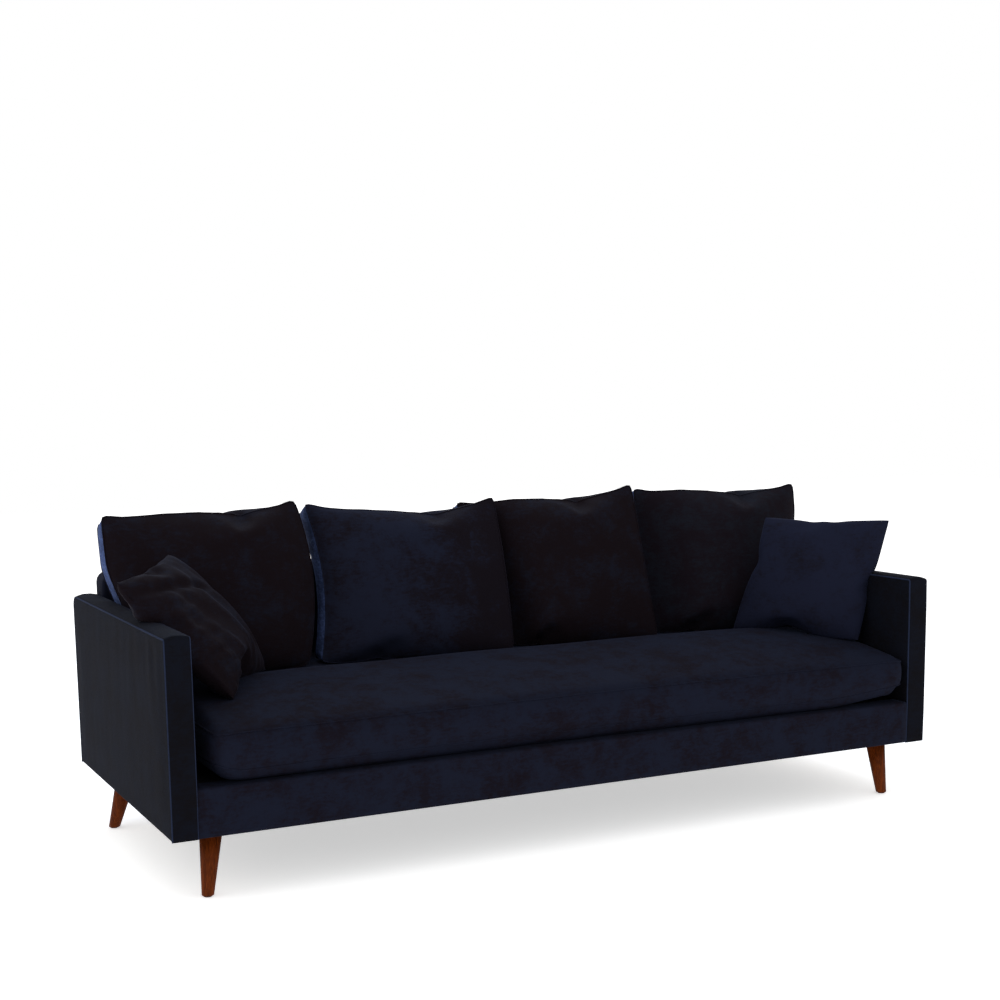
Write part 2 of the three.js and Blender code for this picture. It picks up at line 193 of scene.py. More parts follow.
def velvet_finish(name, shadow_hex, pile_hex, most_dark, sheen=0.032, shade_span=None):
    """Velvet whose pile leans in patches. most_dark is the share of the noise range that stays dark.

    The last argument gives two places along X: from the first to the second the colour grows darker, painted
    shade where the light falls off across the piece."""
    material, tree, shader = new_finish(name, {
        "Roughness": 0.9, "Specular IOR Level": 0.04, "Sheen Weight": sheen, "Sheen Roughness": 0.28,
        "Sheen Tint": linear("#a9bdf2")})
    place = add_node(tree, "ShaderNodeTexCoord").outputs["Object"]
    patches = add_node(tree, "ShaderNodeTexNoise", values={
        "Scale": metres / patch_size, "Detail": 12.0, "Roughness": 0.82, "Distortion": 0.2},
        links={"Vector": place}).outputs["Fac"]
    level = add_node(tree, "ShaderNodeMapping", values={"Scale": (0.3, 0.3, 1.0)},
                     links={"Vector": place}).outputs["Vector"]
    strokes = add_node(tree, "ShaderNodeTexNoise", values={
        "Scale": metres / stroke_size, "Detail": 3.0, "Roughness": 0.6, "Distortion": 0.4},
        links={"Vector": level}).outputs["Fac"]
    pile = add_node(tree, "ShaderNodeTexNoise", values={
        "Scale": metres / pile_size, "Detail": 1.0}, links={"Vector": place}).outputs["Fac"]
    # Painted shade: the colour grows darker along X between the two given places, where the light falls off.
    if shade_span:
        along = add_node(tree, "ShaderNodeSeparateXYZ", links={"Vector": place}).outputs["X"]
        turned = ramp(tree, along, *shade_span)
        patches = add_node(tree, "ShaderNodeMath", {"operation": "MULTIPLY_ADD"}, {1: -painted_shade_share},
                           {0: turned, 2: patches}).outputs["Value"]
    lean = ramp(tree, patches, most_dark, most_dark + patch_softness)
    half_lit = blend_colours(tree, lean, linear(shadow_hex), linear(pile_hex))
    brushed = ramp(tree, strokes, 0.34, 0.66)
    light_pile = blend_colours(tree, brushed, half_lit, linear(pile_hex))
    dark_pile = blend_colours(tree, brushed, linear(shadow_hex), half_lit)
    tree.links.new(blend_colours(tree, lean, dark_pile, light_pile), shader.inputs["Base Color"])
    crush = add_node(tree, "ShaderNodeBump", values={"Strength": 0.5, "Distance": 0.0012},
                     links={"Height": strokes})
    nap = add_node(tree, "ShaderNodeBump", values={"Strength": 0.35, "Distance": 0.0006},
                   links={"Height": pile, "Normal": crush.outputs["Normal"]})
    tree.links.new(nap.outputs["Normal"], shader.inputs["Normal"])
    return material


velvet = velvet_finish("crushed_navy_velvet", "#110d14", "#141724", 0.35)
# A darker copy of the velvet: painted shade, for pieces that catch less light.
shaded_velvet = velvet_finish("navy_velvet_painted_shade", "#120c10", "#14151f", 0.44)
# A copy that grows darker towards +X: painted shade, where the light from the left falls off across the
# cushion.
velvet_shading_rightwards = velvet_finish("navy_velvet_painted_shade_rightwards", "#120e14", "#171a28", 0.33, shade_span=(-0.30, 0.05))
# A slightly darker copy: painted shade, a little lighter than the darker copy above.
velvet_half_in_shade = velvet_finish("navy_velvet_painted_half_shade", "#130e14", "#15171f", 0.40)
# A lighter copy: painted light, for a piece that catches more light.
lit_velvet = velvet_finish("navy_velvet_painted_light", "#14131c", "#181b2b", 0.30)
# A much lighter, bluer copy: painted light, for the cushions' left boxing where the lamps catch it.
lit_boxing_velvet = velvet_finish("navy_velvet_boxing_painted_light", "#2a3450", "#465682", 0.40)
# A darker copy with less sheen, for the arms: its darker colour is painted shade.
shaded_arm_velvet = velvet_finish("navy_velvet_arms_painted_shade", "#0c0b0f", "#0d0f17", 0.38, sheen=0.024)
# A lighter copy for the arm welts: a painted highlight along the arms' edges.
highlit_welt_velvet = velvet_finish("navy_velvet_welt_painted_highlight", "#191d29", "#1f2639", 0.30, sheen=0.025)
print("made the velvets, from", velvet.name, "to", highlit_welt_velvet.name)

# %% [markdown]
# The legs are turned beech stained walnut and lacquered: fine grain runs along the leg, with darker
# growth lines a few millimetres apart and small pores, under a satin coat. The frame inside is plain
# softwood, sawn and left bare, with wider growth rings.

# %% Woods


def grained_wood(name, dark_hex, mid_hex, light_hex, ring_width, values):
    """Wood whose grain runs along Z, with rings ring_width metres apart."""
    material, tree, shader = new_finish(name, values)
    place = add_node(tree, "ShaderNodeTexCoord").outputs["Object"]
    along = add_node(tree, "ShaderNodeMapping", values={"Scale": (1.0, 1.0, 0.07)},
                     links={"Vector": place}).outputs["Vector"]
    figure = add_node(tree, "ShaderNodeTexNoise", values={
        "Scale": 0.35 / ring_width, "Detail": 3.0, "Distortion": 0.6}, links={"Vector": along}).outputs["Fac"]
    fibres = add_node(tree, "ShaderNodeTexNoise", values={
        "Scale": 3.0 / ring_width, "Detail": 4.0, "Roughness": 0.7}, links={"Vector": along}).outputs["Fac"]
    body = blend_colours(tree, ramp(tree, figure, 0.35, 0.68), linear(dark_hex), linear(mid_hex))
    grain = blend_colours(tree, ramp(tree, fibres, 0.42, 0.72), body, linear(light_hex))
    tree.links.new(grain, shader.inputs["Base Color"])
    pores = add_node(tree, "ShaderNodeBump", values={"Strength": 0.25, "Distance": 0.0004},
                     links={"Height": fibres})
    tree.links.new(pores.outputs["Normal"], shader.inputs["Normal"])
    return material


walnut = grained_wood("walnut_stained_beech", "#3a1503", "#562204", "#70320a", 0.004, {
    "Roughness": 0.5, "Specular IOR Level": 0.05, "Coat Weight": 0.02, "Coat Roughness": 0.3})
softwood = grained_wood("sawn_softwood", "#a87f4c", "#c9a36c", "#dcc091", 0.012, {"Roughness": 0.8})
print("made", walnut.name, "and", softwood.name)

# %% [markdown]
# Metal, felt, lining cloth and the deck are seen only from below or when the cushions are lifted out, but
# each still gets its own surface: zinc-plated pressings are mottled, spring wire is dark and drawn, the
# felt glide is fibrous, and the underside cloth is a spun-bonded sheet with a fine dimple. The deck pad
# is near black with a fine mottle: its dark colour is painted shade, so the gaps round the bench cushion
# read dark. The studio floor's finish is made here too; it glows, a painted glow that lifts its shadows.

# %% Small finishes


def mottled(name, first_hex, second_hex, grain, depth, values):
    """A finish of two close colours in grains of that size in metres, raised by depth metres."""
    material, tree, shader = new_finish(name, values)
    place = add_node(tree, "ShaderNodeTexCoord").outputs["Object"]
    speck = add_node(tree, "ShaderNodeTexNoise", values={"Scale": metres / grain, "Detail": 3.0},
                     links={"Vector": place}).outputs["Fac"]
    colour = blend_colours(tree, ramp(tree, speck, 0.35, 0.65), linear(first_hex), linear(second_hex))
    tree.links.new(colour, shader.inputs["Base Color"])
    relief = add_node(tree, "ShaderNodeBump", values={"Strength": 0.4, "Distance": depth},
                      links={"Height": speck})
    tree.links.new(relief.outputs["Normal"], shader.inputs["Normal"])
    return material


zinc = mottled("zinc_plated_steel", "#8f9296", "#b4b7ba", 0.009, 0.0001, {"Metallic": 1.0, "Roughness": 0.38})
drawn_wire = mottled("drawn_spring_steel", "#4a4b4e", "#6a6b6e", 0.002, 0.0001,
                     {"Metallic": 1.0, "Roughness": 0.42})
felt = mottled("needled_felt", "#1c1917", "#332e2a", 0.001, 0.0004, {"Roughness": 0.95})
lining = mottled("spun_bonded_lining", "#121214", "#1d1d20", 0.0016, 0.0002, {"Roughness": 0.9})
# The deck pad's near-black colour is painted shade, for the dark gaps round the bench cushion.
deck_painted_shade = mottled("deck_pad_painted_shade", "#0b0b10", "#101017", 0.004, 0.0004,
                   {"Roughness": 0.95, "Specular IOR Level": 0.1})
# The floor's emission is a painted glow: it lifts the shadow under the sofa and sends light up onto it from
# below.
paint = mottled("studio_floor", "#f4f4f4", "#f6f6f6", 0.4, 0.0, {
    "Roughness": 0.95, "Specular IOR Level": 0.0, "Emission Color": (1.0, 1.0, 1.0, 1.0),
    "Emission Strength": 0.5})
floor.data.materials.append(paint)

slot_finish = {"frame_timber": softwood, "zinc_steel": zinc, "spring_steel": drawn_wire,
               "felt_glide": felt, "lining": lining, "padding": deck_painted_shade, "walnut_leg": walnut,
               "navy_velvet": velvet}
for part in frame["record"]["subparts"]:
    node = frame["nodes"][part["node"]]
    for holder in node.material_slots:
        holder.material = slot_finish[part["material_slot"]]

# %% [markdown]
# Places that several soft pieces share: where the arms, the fixed back and the deck are. They come from
# the frame's nodes, so the upholstery follows the joinery.

# %% Shared places
soft_gap = 0.002
arm_low, arm_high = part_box("arm_right_cover")
back_low, back_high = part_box("back_cover")
deck_low, deck_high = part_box("front_rail_cover")
seat_low, seat_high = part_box("seat_cushion")
arm_inner = arm_low[0]
arm_top = arm_high[2]
front_line = arm_low[1]
back_face = back_low[1]
deck_top = deck_high[2]
seat_rest = seat_high[2]
print("arm inner face at", round(arm_inner, 4), "deck at", round(deck_top, 4), "seat at", round(seat_rest, 4))


def smooth_step(value, low, high):
    """0 below low, 1 above high, and an easy curve between."""
    t = min(max((value - low) / (high - low), 0.0), 1.0)
    return t * t * (3.0 - 2.0 * t)


# %% [markdown]
# A cushion cover is two panels sewn together, either edge to edge, as on a throw, or with a boxed border
# between. The cover starts flat, as it is cut: two grids, welded or bridged round their edges. The seam
# edges get a crease, so that smoothing later keeps them as crisp lines.

# %% Cut and sew a cover
seam_crease = 0.75


def round_corner(x, y, half_x, half_y, radius):
    """Moves a point of a rectangle so that the corners become round, without gathering the grid."""
    over_x = abs(x) - (half_x - radius)
    over_y = abs(y) - (half_y - radius)
    if radius <= 0 or over_x <= 0 or over_y <= 0:
        return x, y
    a, b = over_x / radius, over_y / radius
    x_out = half_x - radius + radius * a * math.sqrt(1 - b * b / 2)
    y_out = half_y - radius + radius * b * math.sqrt(1 - a * a / 2)
    return math.copysign(x_out, x), math.copysign(y_out, y)


def sewn_cover(name, width, height, border, weave, corner=0.0, bow=0.0):
    """A flat cover, width along X and height along Z, whose panels are a border apart along Y.

    Its edges are cut bowed outwards by that share of the half width, so that filling draws them straight."""
    cover = bmesh.new()
    columns, rows = round(width / weave), round(height / weave)
    for side in (-1, 1):
        panel = bmesh.ops.create_grid(cover, x_segments=columns, y_segments=rows, size=0.5)["verts"]
        for vert in panel:
            u, w = 2 * vert.co.x, 2 * vert.co.y
            x, z = round_corner(u * width / 2, w * height / 2, width / 2, height / 2, corner)
            x, z = x * (1 + bow * (1 - w * w)), z * (1 + bow * (1 - u * u))
            rise = 0.004 * (1 - u ** 4) * (1 - w ** 4)
            vert.co = (x, side * (border / 2 + rise), z)
    crease = cover.edges.layers.float.new("crease_edge")
    open_edges = [edge for edge in cover.edges if edge.is_boundary]
    for edge in open_edges:
        edge[crease] = seam_crease
    if border > 0:
        bmesh.ops.bridge_loops(cover, edges=open_edges)
        across = [edge for edge in cover.edges
                  if abs(edge.verts[0].co.y - edge.verts[1].co.y) > 0.9 * border]
        bmesh.ops.subdivide_edges(cover, edges=across, cuts=round(border / weave), use_grid_fill=True)
        for edge in cover.edges:
            if abs(abs(edge.verts[0].co.y) - border / 2) > 1e-5 or edge.verts[0].co.y != edge.verts[1].co.y:
                edge[crease] = 0.0
    else:
        bmesh.ops.remove_doubles(cover, verts=cover.verts, dist=1e-5)
    bmesh.ops.recalc_face_normals(cover, faces=cover.faces)
    mesh = bpy.data.meshes.new(name)
    cover.to_mesh(mesh)
    cover.free()
    piece = bpy.data.objects.new(name, mesh)
    scene.collection.objects.link(piece)
    return piece


def seam_runs(mesh):
    """The creased seams of a cover, each as a closed run of vertex numbers in order."""
    crease = mesh.attributes["crease_edge"].data
    beside = {}
    for edge in mesh.edges:
        if crease[edge.index].value > 0.5:
            first, second = edge.vertices
            beside.setdefault(first, []).append(second)
            beside.setdefault(second, []).append(first)
    runs = []
    while beside:
        start = min(beside)
        run, last, here = [start], None, start
        while True:
            ahead_of = [v for v in beside[here] if v != last and v not in run[1:]]
            following = [v for v in ahead_of if v != start]
            if not following:
                break
            last, here = here, following[0]
            run.append(here)
        for vert in run:
            del beside[vert]
        runs.append(run)
    return runs


# %% [markdown]
# Stuffing is a cloth simulation: pressure inside the sewn cover blows the panels out until the weave is
# tight. The corners cannot follow, so they stay as pointed ears and the edges between them draw in, which
# is how a filled cushion gets its shape. All the covers are stuffed in the same run of frames, with
# gravity off, and the result is then made the piece's own mesh. A few passes of smoothing ease out the
# finest wrinkles, which the weave of the grid is too coarse to draw well.

# %% Cut all the covers
covers = {}
back_border = 0.085
back_names = [f"back_cushion_{number}" for number in (1, 2, 3, 4)]
for cover_name in back_names:
    covers[cover_name] = sewn_cover(f"{cover_name}_cover", 0.60, 0.46, back_border, weave=0.0145,
                                    corner=0.015, bow=0.028)
for cover_name in ("throw_left", "throw_right"):
    covers[cover_name] = sewn_cover(f"{cover_name}_cover", 0.46, 0.44, border=0.0, weave=0.0125, bow=0.045)
bench_cut_border = 0.128
covers["seat_cushion"] = sewn_cover("seat_cushion_cover", 2.16, 0.90, bench_cut_border, weave=0.02,
                                    corner=0.05)
print("covers cut:", {name: len(piece.data.vertices) for name, piece in covers.items()})

# %% Stuff them
stuffing_frames = 26
usual_pressure = 2.0
pressure_of = {"seat_cushion": 0.55, "throw_left": 2.4, "throw_right": 2.4}
smoothing_passes = {"seat_cushion": 5, "throw_right": 6, "back_cushion_2": 3}    # the others get one


def prepare_stuffing(piece, pressure):
    """Adds the cloth that fills a cover."""
    cloth = piece.modifiers.new("stuffing", "CLOTH")
    weave = cloth.settings
    weave.quality = 5
    weave.mass = 0.05
    weave.tension_stiffness = 40
    weave.compression_stiffness = 40
    weave.shear_stiffness = 12
    weave.bending_stiffness = 1.5
    weave.air_damping = 3
    weave.use_pressure = True
    weave.uniform_pressure_force = pressure
    weave.effector_weights.gravity = 0
    cloth.collision_settings.use_collision = False


def ease_wrinkles(mesh, passes):
    """Smooths the finest wrinkles of a stuffed cover."""
    eased = bmesh.new()
    eased.from_mesh(mesh)
    for _ in range(passes):
        bmesh.ops.smooth_vert(eased, verts=eased.verts, factor=0.5,
                              use_axis_x=True, use_axis_y=True, use_axis_z=True)
    eased.to_mesh(mesh)
    eased.free()


for cover_name, piece in covers.items():
    prepare_stuffing(piece, pressure_of.get(cover_name, usual_pressure))
for frame_number in range(1, stuffing_frames + 1):
    scene.frame_set(frame_number)
graph = bpy.context.evaluated_depsgraph_get()
for cover_name, piece in covers.items():
    filled = bpy.data.meshes.new_from_object(piece.evaluated_get(graph), depsgraph=graph)
    ease_wrinkles(filled, smoothing_passes.get(cover_name, 1))
    piece.modifiers.clear()
    piece.data = filled
    spans = [max(v.co[i] for v in filled.vertices) - min(v.co[i] for v in filled.vertices) for i in range(3)]
    print(cover_name, "stuffed to", [round(span, 3) for span in spans])
scene.frame_set(1)

# %% [markdown]
# A filled cover is a neat, upright cushion. On the sofa it leans, sags and presses against its
# neighbours. Each cushion is therefore shaped by a function from its own width, height and depth to its
# place. Where it meets an arm, the fixed back or the bench it flattens, so nothing passes through.

# %% Shape helpers
arm_crown_gap = 0.006     # the padding rises this far over the arm's plain top


def keep_off_arms(point):
    """Moves a point out of either arm, sideways or up, whichever is the shorter way."""
    limit = arm_inner - soft_gap
    over = abs(point.x) - limit
    under = arm_top + arm_crown_gap - point.z
    if over > 0 and under > 0:
        if over < under:
            point.x = math.copysign(limit, point.x)
        else:
            point.z = arm_top + arm_crown_gap
    return point


def press(value, limit, softness):
    """Keeps a value under a limit, and eases it in over the last stretch."""
    start = limit - softness
    if value <= start:
        return value
    return start + softness * (1 - math.exp(-(value - start) / softness))


def dress(piece, shape, levels, cloth):
    """Moves every point of a stuffed cover by shape(point), and finishes the cover smooth in its cloth."""
    for vert in piece.data.vertices:
        vert.co = shape(vert.co.copy())
    piece.data.polygons.foreach_set("use_smooth", [True] * len(piece.data.polygons))
    smoothing = piece.modifiers.new("smoothing", "SUBSURF")
    smoothing.levels = levels
    smoothing.render_levels = levels
    piece.data.materials.clear()
    piece.data.materials.append(cloth)
    piece.data.update()


def tube(name, points, radius, closed, material):
    """A round cord of velvet along a run of points, as a mesh."""
    path = bpy.data.curves.new(name, "CURVE")
    path.dimensions = "3D"
    path.bevel_depth = radius
    path.bevel_resolution = 2
    path.use_fill_caps = not closed
    spline = path.splines.new("POLY")
    spline.points.add(len(points) - 1)
    for knot, point in zip(spline.points, points):
        knot.co = (*point, 1.0)
    spline.use_cyclic_u = closed
    holder = bpy.data.objects.new(name, path)
    scene.collection.objects.link(holder)
    mesh = bpy.data.meshes.new_from_object(holder)
    bpy.data.objects.remove(holder)
    piece = bpy.data.objects.new(name, mesh)
    piece.data.materials.clear()
    piece.data.materials.append(material)
    piece.data.polygons.foreach_set("use_smooth", [True] * len(mesh.polygons))
    scene.collection.objects.link(piece)
    return piece


seam_radius = 0.0022


def pipe_seams(piece, body):
    """A thin welt along each creased seam of a shaped cover. It rides with the cover."""
    for number, run in enumerate(seam_runs(piece.data), start=1):
        points = [piece.data.vertices[index].co.copy() for index in run]
        welt = tube(f"{body}_seam_{number}", points, seam_radius, True, piece.data.materials[0])
        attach(welt, body)


def own_part(piece, body):
    """A cushion rides on its body, and its plain solid, which it stands for, is hidden."""
    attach(piece, body)
    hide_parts(body)


# %% [markdown]
# The bench cushion is one long box between the arms. Its top crowns by about 7 cm in the middle and is
# pressed flat where the back cushions stand. Its underside is flat on the deck, but the ends of the
# lower seam curl up where the border is pulled round the corners.

# %% Bench cushion
bench = covers["seat_cushion"]
bench_seam = 0.418                    # height of the upper seam
bench_low_seam = deck_top + 0.030     # and of the lower one, under which the case rounds in
bench_crown = 0.070
bench_front = front_line - 0.006
bench_back = seat_high[1]
bench_left, bench_right = -1.046, arm_inner - soft_gap   # it is pushed against the right arm
bench_half = (bench_right - bench_left) / 2
bench_middle = (bench_right + bench_left) / 2
bench_spans = [max(abs(v.co[i]) for v in bench.data.vertices) for i in range(3)]
bench_border = bench_cut_border / 2   # the cut cover's panels lie this far from its middle
bench_end_curl = 0.020                # the lower seam's rise at the ends
bench_corner_tuck = 0.05              # the underside rounds in over this distance
bench_border_bulge = 0.007


def bench_shape(point):
    """From the stuffed box to the bench: X stays, the depth becomes height, the height becomes depth."""
    x = bench_middle + point.x / bench_spans[0] * bench_half
    share = (point.z / bench_spans[2] + 1) / 2
    y = bench_front + share * (bench_back - bench_front)
    end_gap = min(bench_right - x, x - bench_left)
    inset = min(end_gap, y - bench_front, bench_back - y)
    curl_start = 0.80 if x > 0 else 0.96
    end_lift = bench_end_curl * smooth_step(abs(x), curl_start, bench_half + 0.01)
    if point.y < -bench_border:
        tuck = min(max(inset, 0.0) / bench_corner_tuck, 1.0)
        drop = (bench_low_seam - deck_top - 0.001) * math.sqrt(tuck * (2 - tuck))
        height = bench_low_seam + end_lift - drop
        height -= end_lift * smooth_step(inset, 0.04, 0.25)
    elif point.y > bench_border:
        front_rise = 1 - (1 - min((y - bench_front) / 0.5, 1.0)) ** 2.4
        end_rise = 1 - (1 - min(end_gap / 0.4, 1.0)) ** 2.0
        height = bench_seam + bench_crown * front_rise * (0.55 + 0.45 * end_rise)
        waves = noise.noise(Vector((x * 2.2, y * 3.0, 1.7)))
        gathers = noise.noise(Vector((x * 34, y * 8, 5.1)))
        height += 0.005 * waves * min(inset / 0.1, 1.0)
        height += 0.0016 * gathers * smooth_step(-inset, -0.09, -0.01)
        pressed = smooth_step(y, -0.10, 0.07)
        height += (min(height, seat_rest) - height) * pressed
    else:
        up_border = (point.y + bench_border) / (2 * bench_border)
        low = bench_low_seam + end_lift
        height = low + (bench_seam - low) * up_border
        bulge = 4 * up_border * (1 - up_border)
        y -= bench_border_bulge * bulge if inset == y - bench_front else 0.0
    return Vector((x, y, height))


dress(bench, bench_shape, 1, velvet)
own_part(bench, "seat_cushion")
pipe_seams(bench, "seat_cushion")
print("bench crown at", round(max(v.co.z for v in bench.data.vertices), 3))

# %% [markdown]
# The four back cushions are boxed and well filled. They stand on the bench and lean back, each turned a
# little so that its right side overlaps the next one's left. The tops sag between raised corners. The
# list gives each one's place: the middle of its lower front edge, its turn, lean, sag and tilt. Its last
# values move the left and right edges sideways at the bottom, the middle and the top.

# %% Back cushions
# Each back cushion's cloth is a copy of the velvet with its own painted shade; the second's grows darker
# towards its right.
back_places = {
    "back_cushion_1": {"x": -0.812, "y": 0.104, "turn": 2.4, "lean": 16.5, "sag": 0.002, "tilt": 2.4,
                       "width": 0.604, "height": 0.472, "tuck": 0.0, "lead": 0.0, "cloth": shaded_velvet,
                       "left": (0.0, 0.0, 0.0), "right": (-0.060, -0.012, -0.026)},
    "back_cushion_2": {"x": -0.245, "y": 0.076, "turn": 4.8, "lean": 20.0, "sag": 0.026, "tilt": -0.6,
                       "width": 0.610, "height": 0.480, "tuck": 0.0, "lead": 0.02, "cloth": velvet_shading_rightwards,
                       "left": (-0.010, 0.032, -0.010), "right": (0.0, 0.0, 0.0)},
    "back_cushion_3": {"x": 0.261, "y": 0.072, "turn": 4.0, "lean": 18.5, "sag": 0.012, "tilt": 1.8,
                       "width": 0.602, "height": 0.482, "tuck": 0.05, "lead": 0.02, "cloth": shaded_velvet,
                       "left": (0.105, 0.070, 0.0), "right": (0.0, -0.008, 0.0)},
    "back_cushion_4": {"x": 0.824, "y": 0.068, "turn": 7.0, "lean": 14.5, "sag": 0.012, "tilt": -0.9,
                       "width": 0.614, "height": 0.476, "tuck": 0.05, "lead": 0.0, "cloth": velvet_half_in_shade,
                       "left": (0.050, 0.050, 0.035), "right": (0.0, -0.006, 0.008)},
}
front_crown_gain = 1.5      # the front panel swells further than the sewn cover's own filling
rear_crown_gain = 1.9
made_border = 0.095
ear_rise = 0.012
foot_settle = 0.055         # the weight straightens the lower edge on the bench, as a share of the height
arm_overhang = 0.35         # above the arms a cushion may lean out over them by this share of its rise


def through(places, t):
    """A smooth curve through three values at the bottom, the middle and the top."""
    low, middle, high = places
    return low * (1 - t) * (1 - 2 * t) + middle * 4 * t * (1 - t) + high * t * (2 * t - 1)


def back_cushion_shape(piece, place):
    """The shaping function of one back cushion."""
    spans = [max(abs(v.co[i]) for v in piece.data.vertices) for i in range(3)]
    seam = back_border / 2
    turn = math.radians(place["turn"])
    lean = math.radians(place["lean"])
    tilt = math.radians(place["tilt"])

    def shape(point):
        s = point.x / spans[0]
        t = (point.z / spans[2] + 1) / 2
        t = min(max(t - foot_settle * (1 - s * s) * (1 - t) ** 3, 0.0), 1.0)
        if point.y < -seam:
            depth = (point.y + seam) * front_crown_gain
        elif point.y > seam:
            depth = made_border + (point.y - seam) * rear_crown_gain
        else:
            depth = (point.y + seam) / (2 * seam) * made_border
        thin_left = 0.5 * smooth_step(-s, 0.5, 1.0) if place["tuck"] else 0.0
        thin_right = 0.5 * smooth_step(s, 0.5, 1.0) if place["lead"] else 0.0
        depth *= 1 - thin_left - thin_right
        depth += place["tuck"] * smooth_step(-s, 0.3, 1.0) - place["lead"] * smooth_step(s, 0.4, 1.0)
        x = s * place["width"] / 2
        x += through(place["left"], t) * smooth_step(-s, 0.2, 1.0)
        x += through(place["right"], t) * smooth_step(s, 0.2, 1.0)
        height = t * place["height"]
        height -= place["sag"] * t ** 3 * (1 - s * s)
        height += ear_rise * t ** 6 * smooth_step(abs(s), 0.72, 1.0)
        back = depth * math.cos(lean) + height * math.sin(lean)
        up = height * math.cos(lean) - depth * math.sin(lean) * smooth_step(t, 0.1, 0.9)
        tilted_x = x * math.cos(tilt) - up * math.sin(tilt)
        up = up * math.cos(tilt) + x * math.sin(tilt) * smooth_step(t, 0.0, 0.4)
        world_point = Vector((
            place["x"] + tilted_x * math.cos(turn) + back * math.sin(turn),
            place["y"] - tilted_x * math.sin(turn) + back * math.cos(turn),
            seat_rest + soft_gap + max(up, 0.0)))
        if world_point.z < back_high[2] + 0.01:
            world_point.y = press(world_point.y, back_face - soft_gap, 0.03)
        overhang = arm_overhang * max(world_point.z - arm_top, 0.0)
        side_limit = arm_inner - soft_gap + overhang
        world_point.x = math.copysign(press(abs(world_point.x), side_limit, 0.012), world_point.x)
        return world_point

    return shape


for cushion_name, place in back_places.items():
    piece = covers[cushion_name]
    # The boxing faces on each cushion's left side take the lighter copy: painted light where the lamps catch
    # that side.
    edge_x = 0.93 * max(abs(v.co.x) for v in piece.data.vertices)
    boxing = [face.index for face in piece.data.polygons
              if face.center.x < -edge_x and abs(face.center.y) < 0.9 * back_border / 2]
    dress(piece, back_cushion_shape(piece, place), 2, place["cloth"])
    piece.data.materials.append(lit_boxing_velvet)
    for index in boxing:
        piece.data.polygons[index].material_index = 1
    own_part(piece, cushion_name)
    pipe_seams(piece, cushion_name)
    print(cushion_name, "top at", round(max(v.co.z for v in piece.data.vertices), 3))

# %% [markdown]
# The two throws are simple knife-edge cushions. Each is laid between four corner points, its face bulging
# out along the normal. The right one stands on the bench and leans into the corner. The left one has
# slumped against the arm: its face is creased, its edges are gathered, and a fold runs in from one ear.

# %% Throw cushions
# The right throw's cloth is the lighter copy, painted light; the left throw's is the darker copy, painted
# shade.
throw_places = {
    "throw_right": {"lower_left": (0.800, 0.010, 0.470), "lower_right": (1.045, -0.330, 0.455),
                    "upper_left": (0.905, -0.030, 0.826), "upper_right": (1.150, -0.325, 0.822),
                    "half_depth": 0.060, "crease": 0.004, "slump": 0.0, "settle": 0.075,
                    "gather": 0.0, "cloth": lit_velvet},
    "throw_left": {"lower_left": (-0.935, -0.310, 0.458), "lower_right": (-0.730, 0.030, 0.470),
                   "upper_left": (-1.188, -0.200, 0.768), "upper_right": (-0.990, 0.040, 0.805),
                   "half_depth": 0.072, "crease": 0.016, "slump": 0.03, "settle": 0.03,
                   "gather": 0.008, "cloth": shaded_velvet},
}
fold_depth = 2.2            # the fold is this many times as deep as the gathers
fold_width = 0.035          # as a share of the height


def edge_gathers(s, t):
    """Small wrinkles that run in from the left edge and from the foot of a throw."""
    near_edge = smooth_step(s, 0.0, 0.06) * (1 - smooth_step(s, 0.20, 0.50))
    near_foot = smooth_step(t, 0.0, 0.06) * (1 - smooth_step(t, 0.16, 0.40))
    broad = noise.noise(Vector((4 * s, 34 * t, 3.5)))
    fine = noise.noise(Vector((9 * s, 70 * t, 8.5)))
    puckers = noise.noise(Vector((34 * s, 5 * t, 1.5)))
    return (broad + 0.5 * fine) * near_edge + puckers * near_foot


def ear_fold(s, t):
    """A fold that runs down from under the left ear and fades out to the right."""
    fold_line = 0.86 - 0.30 * s
    return -fold_depth * math.exp(-((t - fold_line) / fold_width) ** 2) * smooth_step(0.9 - s, 0.0, 0.3)


def throw_shape(piece, place):
    """The shaping function of one throw: a bent sheet between four corners, with depth along its normal."""
    spans = [max(abs(v.co[i]) for v in piece.data.vertices) for i in range(3)]
    corners = {key: Vector(place[key]) for key in ("lower_left", "lower_right", "upper_left", "upper_right")}
    across = corners["lower_right"] - corners["lower_left"]
    upward = corners["upper_left"] - corners["lower_left"]
    normal = across.cross(upward).normalized()       # towards the room

    def shape(point):
        s = (point.x / spans[0] + 1) / 2
        t = (point.z / spans[2] + 1) / 2
        t -= place["settle"] * 4 * s * (1 - s) * (1 - t) ** 3
        low = corners["lower_left"].lerp(corners["lower_right"], s)
        high = corners["upper_left"].lerp(corners["upper_right"], s)
        depth = -point.y / spans[1] * place["half_depth"]
        crease = place["crease"] * noise.noise(Vector((7 * s + 3 * t, 2.5 * t - 2 * s, 0.5)))
        inner = 16 * s * (1 - s) * t * (1 - t)
        wrinkle = place["gather"] * edge_gathers(s, t)
        if depth > 0:
            wrinkle += place["gather"] * ear_fold(s, t)
        base = low.lerp(high, t) + normal * (depth + crease * max(inner, 0.0) + wrinkle)
        bulge = 4 * t * (1 - t)
        base -= across.normalized() * place["slump"] * bulge * (1 - s)
        base += (across.normalized() * 0.5 + Vector((0, 0, 0.6))) * place["slump"] * bulge * s
        base.z = max(base.z, seat_rest + soft_gap)
        return keep_off_arms(base)

    return shape


for throw_name, place in throw_places.items():
    piece = covers[throw_name]
    dress(piece, throw_shape(piece, place), 2, place["cloth"])
    own_part(piece, throw_name)
    print(throw_name, "top at", round(max(v.co.z for v in piece.data.vertices), 3))

